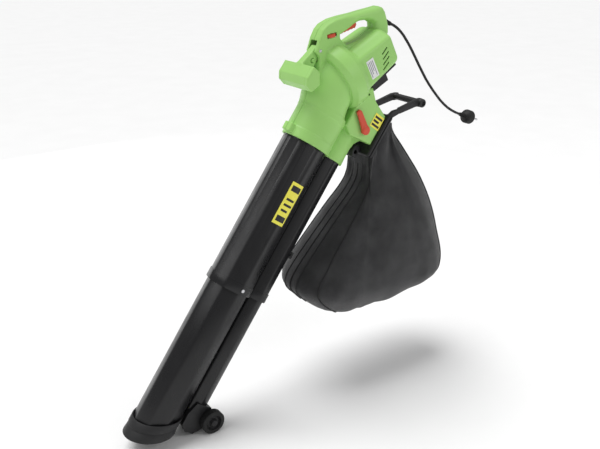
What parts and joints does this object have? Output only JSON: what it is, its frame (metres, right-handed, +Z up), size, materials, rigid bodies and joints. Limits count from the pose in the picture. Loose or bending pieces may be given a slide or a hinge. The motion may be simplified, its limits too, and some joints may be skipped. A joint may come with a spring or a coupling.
{
  "type": "leaf blower",
  "caption": "Electric garden blower and vacuum: a green motor housing with two handles on a long twin duct with wheels, and a cloth bag that collects shredded leaves.",
  "frame": {"origin": "middle of the main handle's grip, where a hand holds the tool up in use", "axes": "+Z up, +X to the rear, -Y the operator's left-hand side, with the duct leaning 35.6 degrees from the vertical"},
  "size_m": [1.0085, 0.252, 0.894],
  "materials": {
    "housing": "satin moulded plastic, light apple green",
    "duct": "glossy black moulded plastic",
    "black_trim": "matt black moulded plastic",
    "control": "satin red moulded plastic",
    "rubber": "black rubber",
    "bag": "black woven polyester",
    "steel": "zinc-plated steel",
    "copper": "copper windings and segments",
    "label": "printed yellow film"
  },
  "bodies": {
    "blower": {"upper_duct": "duct", "lower_duct": "duct", "mouth_rim": "black_trim", "joint_screw_left": "steel", "joint_screw_right": "steel", "wheel_bracket": "black_trim", "wheel_axle": "steel", "axle_cap_left": "black_trim", "axle_cap_right": "black_trim", "housing_left": "housing", "housing_right": "housing", "housing_screw_1": "steel", "housing_screw_2": "steel", "housing_screw_3": "steel", "housing_screw_4": "steel", "trigger_pin": "steel", "switch_module": "black_trim", "trigger_spring": "steel", "front_handle_pin": "steel", "volute_backplate": "black_trim", "front_end_bell": "black_trim", "front_bearing": "steel", "field_core": "steel", "rear_end_bell": "black_trim", "rear_bearing": "steel", "brush_left": "black_trim", "brush_right": "black_trim", "vent_grille": "black_trim", "bag_collar": "black_trim", "bag_frame": "black_trim", "collection_bag": "bag", "bag_hook": "black_trim", "duct_label": "label", "mode_label": "label", "cord_gland": "rubber", "mains_cord": "rubber", "mains_plug": "rubber"},
    "trigger": {"trigger": "control"},
    "speed_dial": {"speed_dial": "control"},
    "front_handle": {"front_handle": "housing"},
    "handle_button": {"front_handle_button": "housing"},
    "mode_selector": {"mode_lever": "control", "diverter_shaft": "black_trim", "diverter_flap": "black_trim"},
    "rotor": {"motor_shaft": "steel", "shaft_nut": "steel", "shredder_blade": "steel", "impeller": "black_trim", "cooling_fan": "black_trim", "armature": "copper", "commutator": "copper"},
    "left_wheel": {"wheel_left": "rubber"},
    "right_wheel": {"wheel_right": "rubber"},
    "bag_latch": {"bag_latch": "black_trim"}
  },
  "joints": [
    {"name": "trigger_pull", "type": "hinge", "parent": "blower", "child": "trigger", "pos_m": [-0.06176, 0, -0.02958], "axis": [0, -1, 0], "range_deg": [0, 7], "stiffness_Nm_per_rad": 1, "springref_deg": -6.88},
    {"name": "speed_dial_turn", "type": "hinge", "parent": "blower", "child": "speed_dial", "pos_m": [-0.07665, -0.0105, -0.03491], "axis": [0.139, 0, -0.9903], "range_deg": [0, 270]},
    {"name": "front_handle_swing", "type": "hinge", "parent": "blower", "child": "front_handle", "pos_m": [-0.1062, 0, -0.06417], "axis": [0, 1, 0], "range_deg": [0, 65]},
    {"name": "handle_button_press", "type": "slide", "parent": "front_handle", "child": "handle_button", "axis": [0, 1, 0], "range_m": [0, 0.0025], "stiffness_N_per_m": 600},
    {"name": "mode_lever_turn", "type": "hinge", "parent": "blower", "child": "mode_selector", "pos_m": [-0.00503, 0, -0.24237], "axis": [0, 1, 0], "range_deg": [0, 75]},
    {"name": "rotor_spin", "type": "hinge", "parent": "blower", "child": "rotor", "pos_m": [-0.06397, 0, -0.13745], "axis": [0.8878, 0, 0.4602], "continuous": true},
    {"name": "left_wheel_spin", "type": "hinge", "parent": "blower", "child": "left_wheel", "pos_m": [-0.41465, -0.042, -0.8506], "axis": [0, 1, 0], "continuous": true},
    {"name": "right_wheel_spin", "type": "hinge", "parent": "blower", "child": "right_wheel", "pos_m": [-0.41465, 0.042, -0.8506], "axis": [0, 1, 0], "continuous": true},
    {"name": "bag_latch_press", "type": "hinge", "parent": "blower", "child": "bag_latch", "pos_m": [0.00253, 0, -0.29452], "axis": [0, 1, 0], "range_deg": [0, 8], "stiffness_Nm_per_rad": 1.5, "springref_deg": -2.86}
  ]
}
